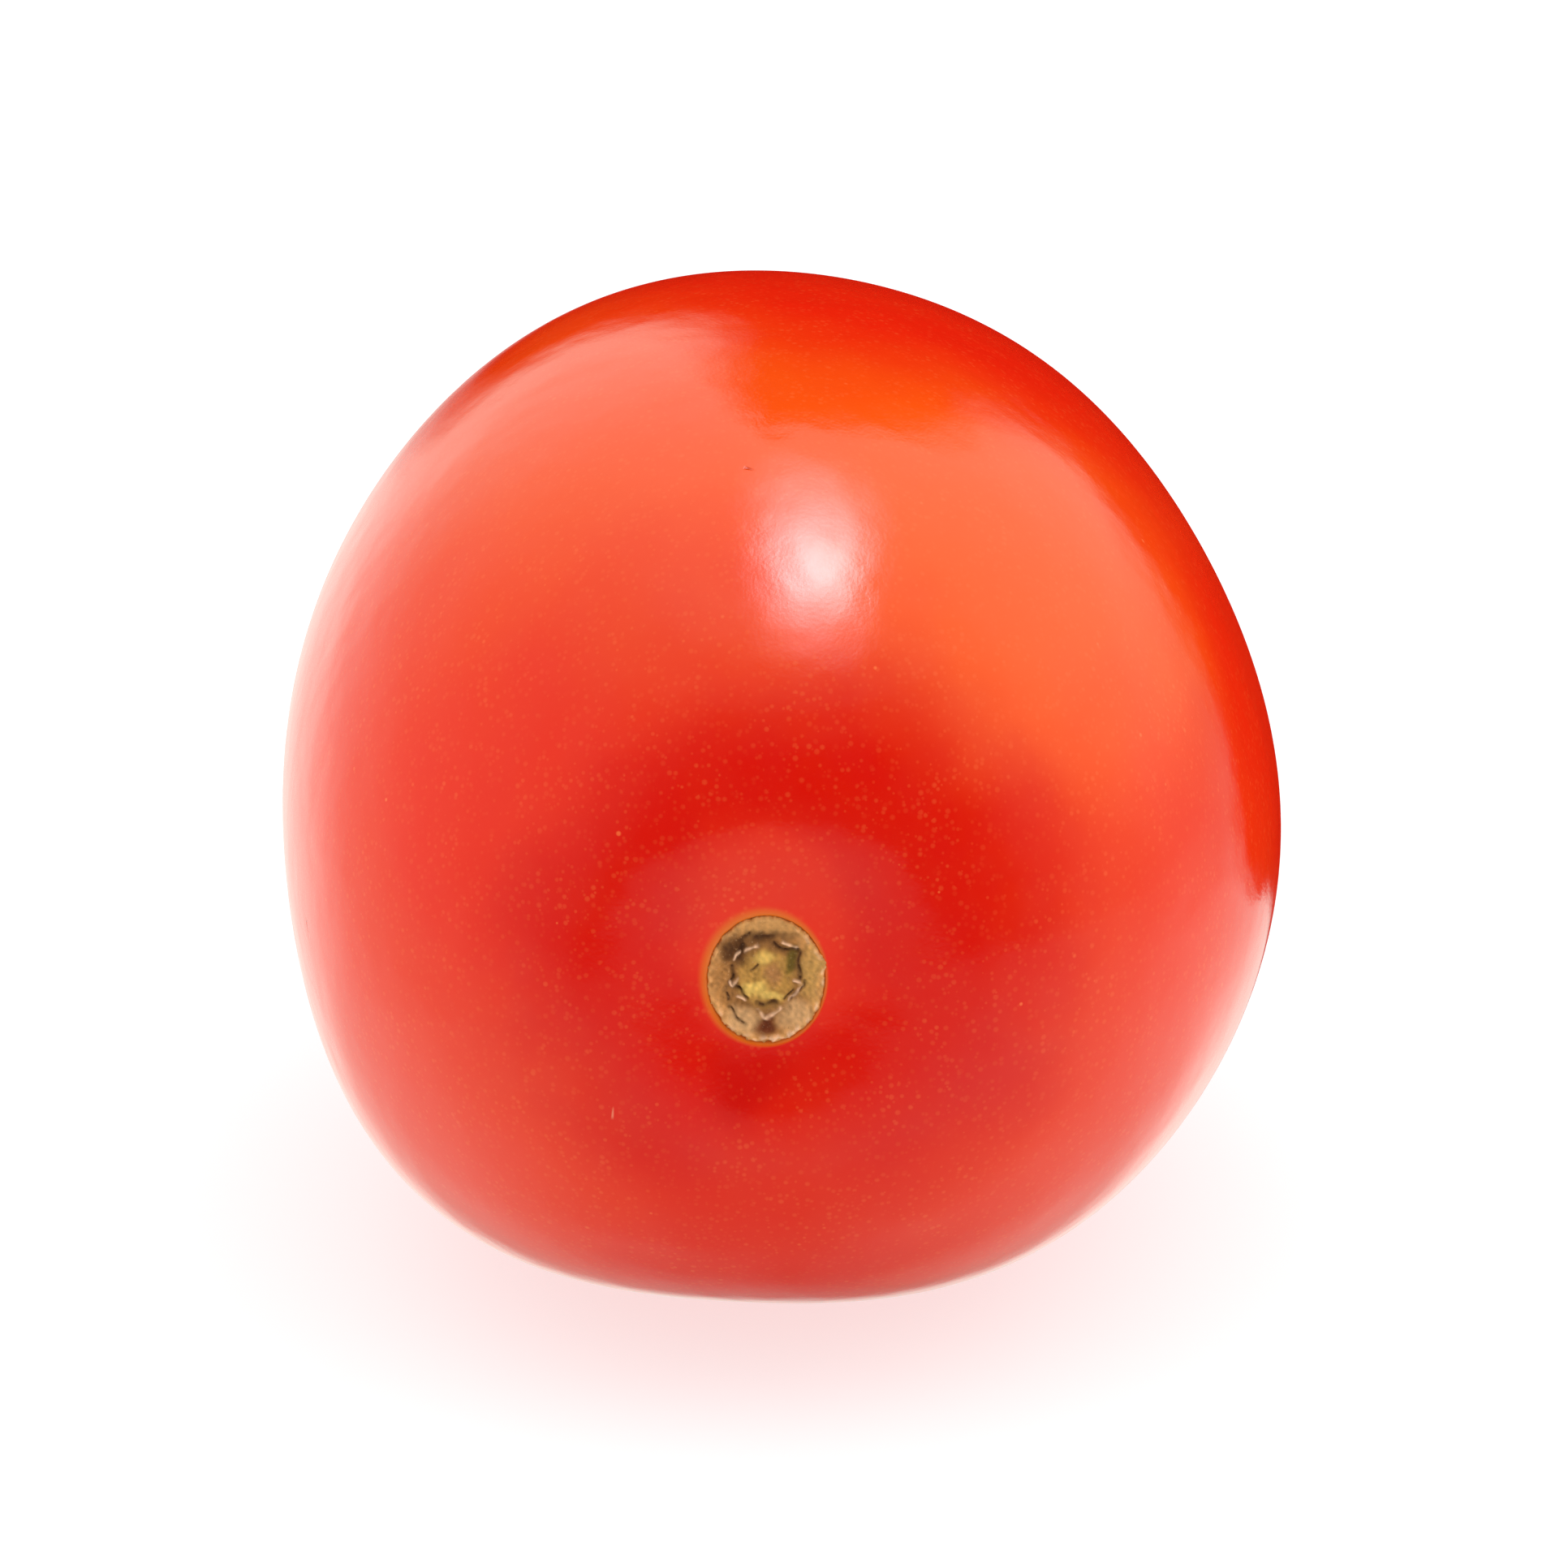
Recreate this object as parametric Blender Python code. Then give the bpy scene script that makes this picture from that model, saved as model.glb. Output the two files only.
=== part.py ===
"""A plum tomato, as picked, lying on its side on a small flat spot with its stem scar facing -Y.

Metres, +Z up. The origin is at the middle of the bounding box's underside. Angles around the fruit
are in degrees, clockwise from the top as seen from the stem end.
"""

import math

import bmesh
import bpy
from mathutils import Matrix, Vector

MM = 0.001

# The oval body, before the stem basin is pressed in
LENGTH = 66.0 * MM
WIDTH = 50.0 * MM
TAPER = 0.06  # how much wider the stem half is than the blossom half
FULLNESS = 0.10  # how blunt both ends are
SHOULDER = 0.12  # how much blunter the stem end is than the blossom end

# Lobes of the cross-section: how many, their height as a share of the radius, where the first one is
LOBES = ((2, 0.014, -78), (3, 0.030, -7), (4, 0.017, 45), (5, 0.009, 6), (6, 0.007, -23))

# The shallow basin around the stem scar, a little wider to one side
BASIN_DEPTH = 2.2 * MM
BASIN_RADIUS = 7.0 * MM
BASIN_STEEPNESS = 2.6
BASIN_LEAN = 0.10
BASIN_LEAN_ANGLE = 100

# Furrows running out of the basin between the lobes: angle, depth, half-width, distance of the deepest point
FURROWS = (
    (187, 0.35 * MM, 2.6 * MM, 6.0 * MM),
    (55, 0.25 * MM, 4.0 * MM, 11.0 * MM),
    (-65, 0.25 * MM, 4.0 * MM, 11.0 * MM),
)

# The corky scar that the stem left: an oval, sunk below the skin
SCAR_WIDTH = 5.6 * MM
SCAR_HEIGHT = 6.5 * MM
SCAR_RECESS = 0.30 * MM
SCAR_WALL = 0.20 * MM

# The slight point at the blossom end
TIP_HEIGHT = 0.6 * MM
TIP_RADIUS = 3.5 * MM

# How it lies
TILT = 5.0  # stem end up, in degrees
FLAT_DEPTH = 0.45 * MM  # how much of the underside the flat spot takes off

# The mesh
SEGMENTS = 60
RINGS_PER_BASIN = 9
RINGS_PER_BODY = 30
PROFILE_SAMPLES = 720


def profile(u):
    """Radius of the oval at the angle u from the stem pole, as a share of an unscaled half-width."""
    c = math.cos(u)
    return math.sin(u) * (1 + TAPER * c + FULLNESS * c**2 + SHOULDER * c**3)


WIDEST = max(profile(math.pi * i / PROFILE_SAMPLES) for i in range(PROFILE_SAMPLES + 1))


def radius_at(u):
    return WIDTH / 2 * profile(u) / WIDEST


def angle_at(radius):
    """The angle from the stem pole at which the oval has this radius, found by halving."""
    low = 0.0
    high = math.pi / 3
    for _ in range(40):
        middle = (low + high) / 2
        if radius_at(middle) < radius:
            low = middle
        else:
            high = middle
    return low


def lobe_factor(u, around):
    """The lobes fade out towards both ends."""
    ripple = sum(height * math.cos(count * (around - math.radians(first))) for count, height, first in LOBES)
    return 1 + ripple * math.sin(u) ** 2


def basin_dip(radius, around):
    lean = 1 + BASIN_LEAN * math.cos(around - math.radians(BASIN_LEAN_ANGLE))
    return BASIN_DEPTH * math.exp(-((radius / (BASIN_RADIUS * lean)) ** BASIN_STEEPNESS))


def furrow_dip(radius, around):
    dip = 0.0
    for angle, depth, half_width, reach in FURROWS:
        turn = around - math.radians(angle)
        along = radius * math.cos(turn) / reach
        side = radius * math.sin(turn) / half_width
        if along > 0:
            dip += depth * math.exp(-(side**2)) * (along * math.exp(1 - along)) ** 2
    return dip


def scar_radius(around):
    """The oval outline of the stem scar."""
    half_width = SCAR_WIDTH / 2
    half_height = SCAR_HEIGHT / 2
    return half_width * half_height / math.hypot(half_height * math.sin(around), half_width * math.cos(around))


def skin_point(u, around, radius, dip=0.0):
    """A point of the skin on the fruit's own axis, which is Y, with the stem pole at -Y."""
    length = LENGTH / 2 * math.cos(u) - dip
    if u < math.pi / 2:
        length -= basin_dip(radius, around) + furrow_dip(radius, around)
    else:
        length -= TIP_HEIGHT * math.exp(-((radius / TIP_RADIUS) ** 2))
    return Vector((radius * math.sin(around), -length, radius * math.cos(around)))


def scar_ring(share, dip):
    """A ring at a share of the scar's outline, sunk by dip below the skin."""
    points = []
    for step in range(SEGMENTS):
        around = math.tau * step / SEGMENTS
        radius = share * scar_radius(around)
        points.append(skin_point(angle_at(radius), around, radius, dip))
    return points


def body_ring(u, oval_share):
    """A ring of the body. Close to the scar it keeps a share of the scar's oval outline."""
    points = []
    for step in range(SEGMENTS):
        around = math.tau * step / SEGMENTS
        round_radius = radius_at(u) * lobe_factor(u, around)
        mean_scar = (SCAR_WIDTH + SCAR_HEIGHT) / 4
        radius = round_radius + oval_share * (scar_radius(around) - mean_scar)
        here = angle_at(radius / lobe_factor(u, around)) if oval_share else u
        points.append(skin_point(here, around, radius))
    return points


def all_rings():
    """Rings from the stem scar to the blossom end."""
    wall = SCAR_WALL / SCAR_WIDTH
    rings = [scar_ring(share, SCAR_RECESS) for share in (0.35, 0.7, 1 - wall)]
    rings.append(scar_ring(1 + wall, 0.0))
    scar_outside = (SCAR_WIDTH + SCAR_HEIGHT) / 4 * (1 + wall)
    basin_rim = max(1.7 * BASIN_RADIUS, 1.5 * scar_outside)
    for ring in range(1, RINGS_PER_BASIN + 1):
        share = ring / RINGS_PER_BASIN
        radius = scar_outside + (basin_rim - scar_outside) * share
        rings.append(body_ring(angle_at(radius), (1 - share) ** 2))
    rim_angle = angle_at(basin_rim)
    for ring in range(1, RINGS_PER_BODY):
        rings.append(body_ring(rim_angle + (math.pi - rim_angle) * ring / RINGS_PER_BODY, 0.0))
    return rings


def closed_skin():
    """The whole skin as one closed mesh: rings of four-sided faces, with a fan at each pole."""
    mesh = bmesh.new()
    loops = [[mesh.verts.new(point) for point in ring] for ring in all_rings()]
    for near, far in zip(loops, loops[1:]):
        for step in range(SEGMENTS):
            after = (step + 1) % SEGMENTS
            mesh.faces.new((near[step], near[after], far[after], far[step]))
    poles = ((loops[0], 0.0, SCAR_RECESS), (loops[-1], math.pi, 0.0))
    for loop, u, dip in poles:
        pole = mesh.verts.new(skin_point(u, 0.0, 0.0, dip))
        for step in range(SEGMENTS):
            mesh.faces.new((loop[step], loop[(step + 1) % SEGMENTS], pole))
    bmesh.ops.recalc_face_normals(mesh, faces=mesh.faces)
    return mesh


def lay_down(mesh):
    """Tilts the fruit as it lies, cuts the flat spot at Z = 0 and centres the fruit over the origin."""
    bmesh.ops.rotate(mesh, verts=mesh.verts, matrix=Matrix.Rotation(math.radians(-TILT), 3, "X"))
    underside = min(vert.co.z for vert in mesh.verts)
    bmesh.ops.translate(mesh, verts=mesh.verts, vec=(0, 0, -underside - FLAT_DEPTH))
    everything = mesh.verts[:] + mesh.edges[:] + mesh.faces[:]
    bmesh.ops.bisect_plane(
        mesh, geom=everything, dist=0.01 * MM, plane_co=(0, 0, 0), plane_no=(0, 0, 1), clear_inner=True
    )
    rim = [edge for edge in mesh.edges if edge.is_boundary]
    for vert in {vert for edge in rim for vert in edge.verts}:
        vert.co.z = 0.0
    bmesh.ops.edgeloop_fill(mesh, edges=rim)
    bmesh.ops.recalc_face_normals(mesh, faces=mesh.faces)
    for axis in (0, 1):
        ends = [vert.co[axis] for vert in mesh.verts]
        shift = Vector((0, 0, 0))
        shift[axis] = -(min(ends) + max(ends)) / 2
        bmesh.ops.translate(mesh, verts=mesh.verts, vec=shift)


def skin_material():
    material = bpy.data.materials.new("tomato_skin")
    material.use_nodes = True
    shader = material.node_tree.nodes["Principled BSDF"]
    shader.inputs["Base Color"].default_value = (0.70, 0.025, 0.010, 1)
    shader.inputs["Roughness"].default_value = 0.25
    shader.inputs["Metallic"].default_value = 0.0
    return material


def make_tomato():
    skin = closed_skin()
    lay_down(skin)
    data = bpy.data.meshes.new("tomato")
    skin.to_mesh(data)
    skin.free()
    data.materials.append(skin_material())
    data.shade_smooth()
    data.set_sharp_from_angle(angle=math.radians(40))
    tomato = bpy.data.objects.new("tomato", data)
    bpy.context.collection.objects.link(tomato)
    return tomato


for old in list(bpy.data.objects):
    bpy.data.objects.remove(old)
make_tomato()
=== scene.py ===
"""The looks of the plum tomato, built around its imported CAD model.

Metres, with +Z up and the stem end towards -Y.
"""

import math

import bpy
import numpy as np
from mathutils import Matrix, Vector


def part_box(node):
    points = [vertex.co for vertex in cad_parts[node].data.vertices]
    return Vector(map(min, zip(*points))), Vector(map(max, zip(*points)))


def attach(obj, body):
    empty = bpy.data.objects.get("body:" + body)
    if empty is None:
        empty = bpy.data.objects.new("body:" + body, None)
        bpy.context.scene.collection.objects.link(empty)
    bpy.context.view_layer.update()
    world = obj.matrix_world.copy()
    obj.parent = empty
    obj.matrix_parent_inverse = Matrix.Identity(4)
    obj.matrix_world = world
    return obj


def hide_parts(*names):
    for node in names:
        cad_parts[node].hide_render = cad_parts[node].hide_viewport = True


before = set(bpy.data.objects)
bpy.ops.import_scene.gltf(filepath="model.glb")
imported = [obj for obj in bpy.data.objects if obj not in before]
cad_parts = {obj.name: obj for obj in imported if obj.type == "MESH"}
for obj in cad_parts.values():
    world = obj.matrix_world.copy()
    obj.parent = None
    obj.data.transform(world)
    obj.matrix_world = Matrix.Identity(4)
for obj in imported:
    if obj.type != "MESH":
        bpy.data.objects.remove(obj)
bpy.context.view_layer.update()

MM = 0.001

# ---------------------------------------------------------------- the shape, as in the CAD model

LENGTH = 66.0 * MM
WIDTH = 50.0 * MM
TAPER = 0.06
FULLNESS = 0.10
SHOULDER = 0.12
# Lobes: how many go round the fruit, how far they stand out as a share, and the angle of the first
LOBES = ((2, 0.014, -78), (3, 0.030, -7), (4, 0.017, 45), (5, 0.009, 6), (6, 0.007, -23))
BASIN_DEPTH = 2.2 * MM
BASIN_RADIUS = 7.0 * MM
BASIN_STEEPNESS = 2.6
BASIN_LEAN = 0.10
BASIN_LEAN_ANGLE = 100
# Furrows that run into the basin: the angle, the depth, half the width, and how far out each is
# deepest
FURROWS = (
    (187, 0.35 * MM, 2.6 * MM, 6.0 * MM),
    (55, 0.25 * MM, 4.0 * MM, 11.0 * MM),
    (-65, 0.25 * MM, 4.0 * MM, 11.0 * MM),
)
SCAR_WIDTH = 5.6 * MM
SCAR_HEIGHT = 6.5 * MM
SCAR_RECESS = 0.30 * MM
TIP_HEIGHT = 0.6 * MM
TIP_RADIUS = 3.5 * MM
TILT = math.radians(5.0)

# How finely the skin is meshed
AROUND = 384
SCAR_RINGS = 6
BASIN_RINGS = 70
BODY_RINGS = 105
# The skin goes on under the scar as a plain floor. It runs from and to these shares of the scar's
# size, and the basin starts just outside it.
SCAR_FLOOR_FROM = 0.20
SCAR_FLOOR_TO = 0.97
BASIN_FROM = 1.03
BASIN_RIM = 11.5 * MM
# How many times the angle of a ring is worked out again, because the lobes change with it
LOBE_PASSES = 3
# The layouts for baking reach this far to each side of the middle of a square that is 1 wide
LAYOUT_FILL = 0.49


def profile(u):
    c = np.cos(u)
    return np.sin(u) * (1 + TAPER * c + FULLNESS * c**2 + SHOULDER * c**3)


PROFILE_ANGLES = np.linspace(0, math.pi, 2001)
WIDEST = profile(PROFILE_ANGLES).max()
STEM_HALF = PROFILE_ANGLES < math.pi / 3


def radius_at(u):
    return WIDTH / 2 * profile(u) / WIDEST


def angle_at(radius):
    """The angle from the stem pole at which the oval has this radius."""
    angles = PROFILE_ANGLES[STEM_HALF]
    return np.interp(radius, radius_at(angles), angles)


def lobe_factor(u, around):
    ripple = 0.0
    for count, height, first in LOBES:
        ripple = ripple + height * np.cos(count * (around - math.radians(first)))
    return 1 + ripple * np.sin(u) ** 2


def basin_dip(radius, around):
    lean = 1 + BASIN_LEAN * np.cos(around - math.radians(BASIN_LEAN_ANGLE))
    return BASIN_DEPTH * np.exp(-((radius / (BASIN_RADIUS * lean)) ** BASIN_STEEPNESS))


def furrow_dip(radius, around):
    dip = 0.0
    for angle, depth, half_width, reach in FURROWS:
        turn = around - math.radians(angle)
        along = np.maximum(radius * np.cos(turn) / reach, 0)
        side = radius * np.sin(turn) / half_width
        dip = dip + depth * np.exp(-(side**2)) * (along * np.exp(1 - along)) ** 2
    return dip


def scar_radius(around):
    half_width = SCAR_WIDTH / 2
    half_height = SCAR_HEIGHT / 2
    across = np.hypot(half_height * np.sin(around), half_width * np.cos(around))
    return half_width * half_height / across


def skin_points(u, around, radius):
    """Points of the skin on the fruit's own axis, which is Y, with the stem pole at -Y."""
    stem = u < math.pi / 2
    dips = np.where(stem, basin_dip(radius, around) + furrow_dip(radius, around), 0)
    tip = np.where(stem, 0, TIP_HEIGHT * np.exp(-((radius / TIP_RADIUS) ** 2)))
    length = LENGTH / 2 * np.cos(u) - dips - tip
    return np.stack([radius * np.sin(around), -length, radius * np.cos(around)], axis=-1)


def grid_mesh(name, points, closed_start=True, closed_end=True):
    """A mesh of rings of points joined by four-sided faces, with a fan at each closed end."""
    rings, steps = points.shape[:2]
    verts = points.reshape(-1, 3)
    ring, step = np.meshgrid(np.arange(rings - 1), np.arange(steps), indexing="ij")
    near = ring * steps + step
    near_after = ring * steps + (step + 1) % steps
    corners = np.stack([near, near_after, near_after + steps, near + steps], axis=-1)
    faces = corners.reshape(-1, 4).tolist()
    poles = []
    if closed_start:
        poles.append((0, points[0].mean(axis=0), False))
    if closed_end:
        poles.append(((rings - 1) * steps, points[-1].mean(axis=0), True))
    for first, pole, flip in poles:
        index = len(verts)
        verts = np.vstack([verts, pole[None]])
        for i in range(steps):
            a = first + i
            b = first + (i + 1) % steps
            faces.append((a, b, index) if flip else (b, a, index))
    mesh = bpy.data.meshes.new(name)
    mesh.from_pydata(verts.tolist(), [], faces)
    mesh.update()
    return mesh


def add_object(name, mesh):
    mesh.shade_smooth()
    piece = bpy.data.objects.new(name, mesh)
    bpy.context.scene.collection.objects.link(piece)
    return piece


def skin_rings():
    around = np.linspace(0, math.tau, AROUND, endpoint=False)
    scar = scar_radius(around)
    rows = []
    for share in np.linspace(SCAR_FLOOR_FROM, SCAR_FLOOR_TO, SCAR_RINGS):
        radius = share * scar
        row = skin_points(angle_at(radius), around, radius)
        row[:, 1] += SCAR_RECESS
        rows.append(row)
    for share in np.linspace(0, 1, BASIN_RINGS):
        radius = scar * BASIN_FROM * (1 - share) + BASIN_RIM * share
        u = angle_at(radius)
        for _ in range(LOBE_PASSES):
            u = angle_at(radius / lobe_factor(u, around))
        rows.append(skin_points(u, around, radius))
    start = angle_at(BASIN_RIM / lobe_factor(angle_at(BASIN_RIM), around))
    for share in np.arange(1, BODY_RINGS) / BODY_RINGS:
        u = start + (math.pi - start) * share
        radius = radius_at(u) * lobe_factor(u, around)
        rows.append(skin_points(u, around, radius))
    return np.array(rows)


def laid_down(points):
    """Points given on the fruit's own axes, turned as the fruit lies."""
    c = math.cos(TILT)
    s = math.sin(TILT)
    x, y, z = np.moveaxis(points, -1, 0)
    return np.stack([x, y * c + z * s, -y * s + z * c], axis=-1)


def bake_layout(mesh, places):
    """Lays the mesh out flat. Each corner of each face has its place in a square from -1 to 1."""
    layer = mesh.uv_layers.new(name="OFBake")
    layer.data.foreach_set("uv", (0.5 + LAYOUT_FILL * places).ravel())


def corner_points(mesh, points):
    """The point at each corner of each face, and the middle of the face that the corner is on."""
    corners = np.empty(len(mesh.loops), dtype=int)
    mesh.loops.foreach_get("vertex_index", corners)
    sizes = np.empty(len(mesh.polygons), dtype=int)
    mesh.polygons.foreach_get("loop_total", sizes)
    middles = np.add.reduceat(points[corners], np.cumsum(sizes) - sizes) / sizes[:, None]
    return points[corners], np.repeat(middles, sizes, axis=0)


def octahedron_places(mesh, points):
    """The eight sides of an octahedron folded out into a square, with the stem end in the middle."""
    corners, middles = corner_points(mesh, points)
    x, y, z = (corners / np.abs(corners).sum(axis=1, keepdims=True)).T
    side_x, _, side_z = np.where(middles < 0, -1, 1).T
    across = np.where(y > 0, (1 - np.abs(z)) * side_x, x)
    along = np.where(y > 0, (1 - np.abs(x)) * side_z, z)
    return np.stack([across, along], axis=-1)


# The fruit's centre is placed so that the skin fills the CAD solid's box, and the flat spot is at
# Z = 0.
rings = laid_down(skin_rings())
box_low, box_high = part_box("tomato")
lift = box_high.z - rings[..., 2].max()
shift_x = (box_low.x + box_high.x) / 2 - (rings[..., 0].min() + rings[..., 0].max()) / 2
shift_y = (box_low.y + box_high.y) / 2 - (rings[..., 1].min() + rings[..., 1].max()) / 2
centre = Vector((shift_x, shift_y, lift))
rings = rings + np.array(centre)
rings[..., 2] = np.maximum(rings[..., 2], 0)

skin_mesh = grid_mesh("tomato_skin", rings)
skin = add_object("tomato_skin", skin_mesh)
from_centre = np.array([vertex.co for vertex in skin_mesh.vertices]) - np.array(centre)
bake_layout(skin_mesh, octahedron_places(skin_mesh, from_centre))


# ---------------------------------------------------------------- node helpers


class Nodes:
    """Builds a node tree with short calls. Sockets are linked, and any other value is set."""

    def __init__(self, tree):
        self.tree = tree

    def fill(self, node, entries):
        for key, value in entries:
            if isinstance(value, bpy.types.NodeSocket):
                self.tree.links.new(value, node.inputs[key])
            else:
                node.inputs[key].default_value = value
        return node

    def add(self, kind, *values, inputs=None, **settings):
        """A new node. The values go to its inputs in order, and those in the dictionary by name."""
        node = self.tree.nodes.new(kind)
        for key, value in settings.items():
            setattr(node, key, value)
        return self.fill(node, [*enumerate(values), *(inputs or {}).items()])

    def math(self, operation, *values):
        return self.add("ShaderNodeMath", *values, operation=operation).outputs[0]

    def vector(self, operation, *values, output="Vector"):
        return self.add("ShaderNodeVectorMath", *values, operation=operation).outputs[output]

    def distance(self, place, other):
        return self.vector("DISTANCE", place, other, output="Value")

    def dot(self, vector, other):
        return self.vector("DOT_PRODUCT", vector, other, output="Value")

    def smooth(self, value, low, high, out_low=0.0, out_high=1.0):
        limits = (low, high, out_low, out_high)
        node = self.add("ShaderNodeMapRange", value, *limits, interpolation_type="SMOOTHSTEP")
        return node.outputs[0]

    def mix(self, factor, a, b, blend="MIX"):
        node = self.add("ShaderNodeMix", data_type="RGBA", blend_type=blend, clamp_factor=True)
        return self.fill(node, ((0, factor), (6, a), (7, b))).outputs[2]

    def noise(self, vector, scale, detail=2.0, roughness=0.5, output="Fac"):
        settings = {"Vector": vector, "Scale": scale, "Detail": detail, "Roughness": roughness}
        return self.add("ShaderNodeTexNoise", inputs=settings).outputs[output]

    def bump(self, relief_in_mm):
        settings = {"Strength": 1.0, "Distance": MM, "Height": relief_in_mm}
        return self.add("ShaderNodeBump", inputs=settings).outputs[0]

    def place_in_mm(self):
        """The place on the piece, in metres and in millimetres."""
        place = self.add("ShaderNodeTexCoord").outputs["Object"]
        return place, self.vector("MULTIPLY", place, (1000.0, 1000.0, 1000.0))


def new_material(name):
    material = bpy.data.materials.new(name)
    material.use_nodes = True
    material.node_tree.nodes.clear()
    nodes = Nodes(material.node_tree)
    return material, nodes


def finish_material(nodes, inputs):
    """Ends a material with its one shader."""
    shader = nodes.add("ShaderNodeBsdfPrincipled", inputs=inputs)
    nodes.add("ShaderNodeOutputMaterial", shader.outputs[0])


# ---------------------------------------------------------------- skin

# Patches of the skin's colour, in the order they are painted: its real red and orange tones, with
# painted light and painted shade in some of them. Each has its centre in millimetres from the
# fruit's centre, the radius it fills, the radius where it has faded out, and its colour.
BODY_RED = (0.79, 0.030, 0.003, 1)
COLOUR_PATCHES = (
    # Partly real orange tone and partly painted light: the crown and the shoulder are more orange
    # where the light on the top is strongest
    ("crown", (-6, -7, 24), 8, 22, (0.84, 0.070, 0.004, 1)),
    ("orange shoulder", (11, -16, 19), 6, 18, (0.89, 0.090, 0.004, 1)),
    ("far side", (-8, 26, -4), 10, 34, (0.74, 0.024, 0.003, 1)),
    # Painted shade: less orange past the top's crest, where less light falls
    ("painted shade past the crest", (6, 9, 22), 8, 20, (0.78, 0.012, 0.002, 1)),
    ("right edge", (25, -3, 5), 6, 12, (0.78, 0.018, 0.002, 1)),
    # Painted shade: less orange on the left cheek
    ("left cheek", (-11, -29, 9), 5, 12, (0.79, 0.018, 0.003, 1)),
    # Partly a real deep red and partly painted shade: darker and redder round the stem scar
    ("round the stem scar", (1, -31, 3.5), 9.5, 17, (0.68, 0.0035, 0.0012, 1)),
    # Painted shade: darker towards the bottom, below the stem
    ("under the stem", (0, -28, -14), 4, 13, (0.73, 0.014, 0.002, 1)),
    ("close to the stem scar", (0.5, -30.5, 4.6), 3.4, 6.4, (0.78, 0.018, 0.003, 1)),
    # Painted shade and a painted dark reflection in the furrow below the scar
    ("painted dark furrow below the scar", (-0.4, -31.3, -2.7), 0.7, 3.4, (0.60, 0.0016, 0.0010, 1)),
)
MOTTLE_ORANGE = (0.86, 0.125, 0.012, 1)
FLECK_ORANGE = (0.95, 0.20, 0.05, 1)
# Three sizes of fleck: how many cells per millimetre, the smallest and the biggest as shares of a
# cell, how strong they are, and how rare the strong ones are
FINE_FLECKS = (3.0, 0.26, 0.60, 0.21, 0.8)
SMALL_FLECKS = (1.5, 0.12, 0.26, 0.30, 1.6)
LARGE_FLECKS = (0.55, 0.03, 0.10, 0.65, 2.4)
FLECK_CORE = 0.35
# The patches' borders wander by this many millimetres, and this many times per millimetre
BORDER_WANDER = 9.0
BORDER_DETAIL = 0.11
# Soft clouds of orange, and how strong they and the flecks still are where they are faintest
MOTTLE_STRENGTH = 0.05
MOTTLE_FAINTEST = 0.45
HALO_ORANGE = (0.72, 0.17, 0.012, 1)
HALO_STRENGTH = 0.85
# Where the halo fades out and where it is full, in shares of the scar's size, and how much
# further it reaches upwards and to the left
HALO_REACH = 1.15
HALO_START = 1.02
HALO_LEAN_UP = 0.05
HALO_LEAN_LEFT = 0.06
STEM_END_RADIUS = 9 * MM
SKIN_ROUGHNESS = (0.08, 0.12)
SKIN_IOR = 1.58
# The skin's relief, in millimetres
FINE_RELIEF = 0.005
BROAD_RELIEF = 0.09
TIP_RELIEF = 0.12
# The brown dot where the flower was. Each zone has where it starts and where it is full, in
# millimetres from the blossom end, how much of its colour shows, and its colour.
TIP_ROUGHNESS = 0.7
TIP_RAGGED = 1.2 * MM
TIP_ZONES = (
    (2.0, 1.1, 0.85, (0.40, 0.17, 0.055, 1)),
    (1.15, 0.75, 0.90, (0.10, 0.035, 0.012, 1)),
)
PALE_MARK = (0.90, 0.30, 0.16, 1)
DARK_MARK = (0.45, 0.015, 0.006, 1)
# Small marks from handling: the centre in millimetres from the fruit's centre, the way it runs,
# its length and width in millimetres, how much of its colour shows, how deep it is in millimetres,
# and its colour
MARKS = (
    ((-22.6, -16.5, -1.5), (0.2, -0.3, -0.9), 0.75, 0.16, 0.45, 0.05, DARK_MARK),
    ((-22.1, -17.4, -0.4), (0.3, 0.1, 0.9), 0.30, 0.14, 0.40, 0.04, DARK_MARK),
    ((-22.9, -15.6, -4.6), (0.5, -0.6, 0.6), 0.22, 0.12, 0.35, 0.03, DARK_MARK),
    ((-1.0, -17.2, 23.7), (0.9, -0.3, -0.3), 0.24, 0.10, 0.60, 0.04, DARK_MARK),
    ((-7.4, -31.6, -4.0), (0.1, 0.0, 1.0), 0.32, 0.06, 0.55, 0.01, PALE_MARK),
    ((16.3, -22.6, 11.3), (0.1, 0.1, 1.0), 0.40, 0.06, 0.45, 0.01, PALE_MARK),
    ((9.6, -23.6, 17.0), (0.8, 0.3, -0.6), 0.22, 0.08, 0.75, 0.01, PALE_MARK),
    ((-8.0, -27.6, -12.8), (0.9, -0.2, 0.2), 0.30, 0.10, 0.50, 0.03, DARK_MARK),
    ((14.0, 8.0, -17.5), (0.6, 0.7, 0.1), 0.90, 0.08, 0.45, 0.02, PALE_MARK),
    ((-15.0, 13.0, 15.0), (0.4, 0.8, 0.2), 0.60, 0.12, 0.35, 0.03, DARK_MARK),
)


def pole_point(angle):
    """Where the fruit's own axis meets the skin: the stem end at 0 and the blossom end at pi."""
    point = skin_points(np.array(angle), np.array(0.0), np.array(0.0))
    return Vector(laid_down(point).tolist()) + centre


def at_mm(middle):
    """A place given from the fruit's centre, counted from the shared frame's origin instead."""
    return tuple(centre * 1000 + Vector(middle))


def paint_patches(nodes, in_mm):
    """The broad red and orange zones, with borders that wander."""
    drift = nodes.noise(in_mm, scale=BORDER_DETAIL, detail=3.0, output="Color")
    drift = nodes.vector("SUBTRACT", drift, (0.5, 0.5, 0.5))
    wandering = nodes.vector("MULTIPLY_ADD", drift, (BORDER_WANDER,) * 3, in_mm)
    colour = BODY_RED
    for _, middle, inner, outer, patch_colour in COLOUR_PATCHES:
        away = nodes.distance(wandering, at_mm(middle))
        colour = nodes.mix(nodes.smooth(away, outer, inner), colour, patch_colour)
    return colour


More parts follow.
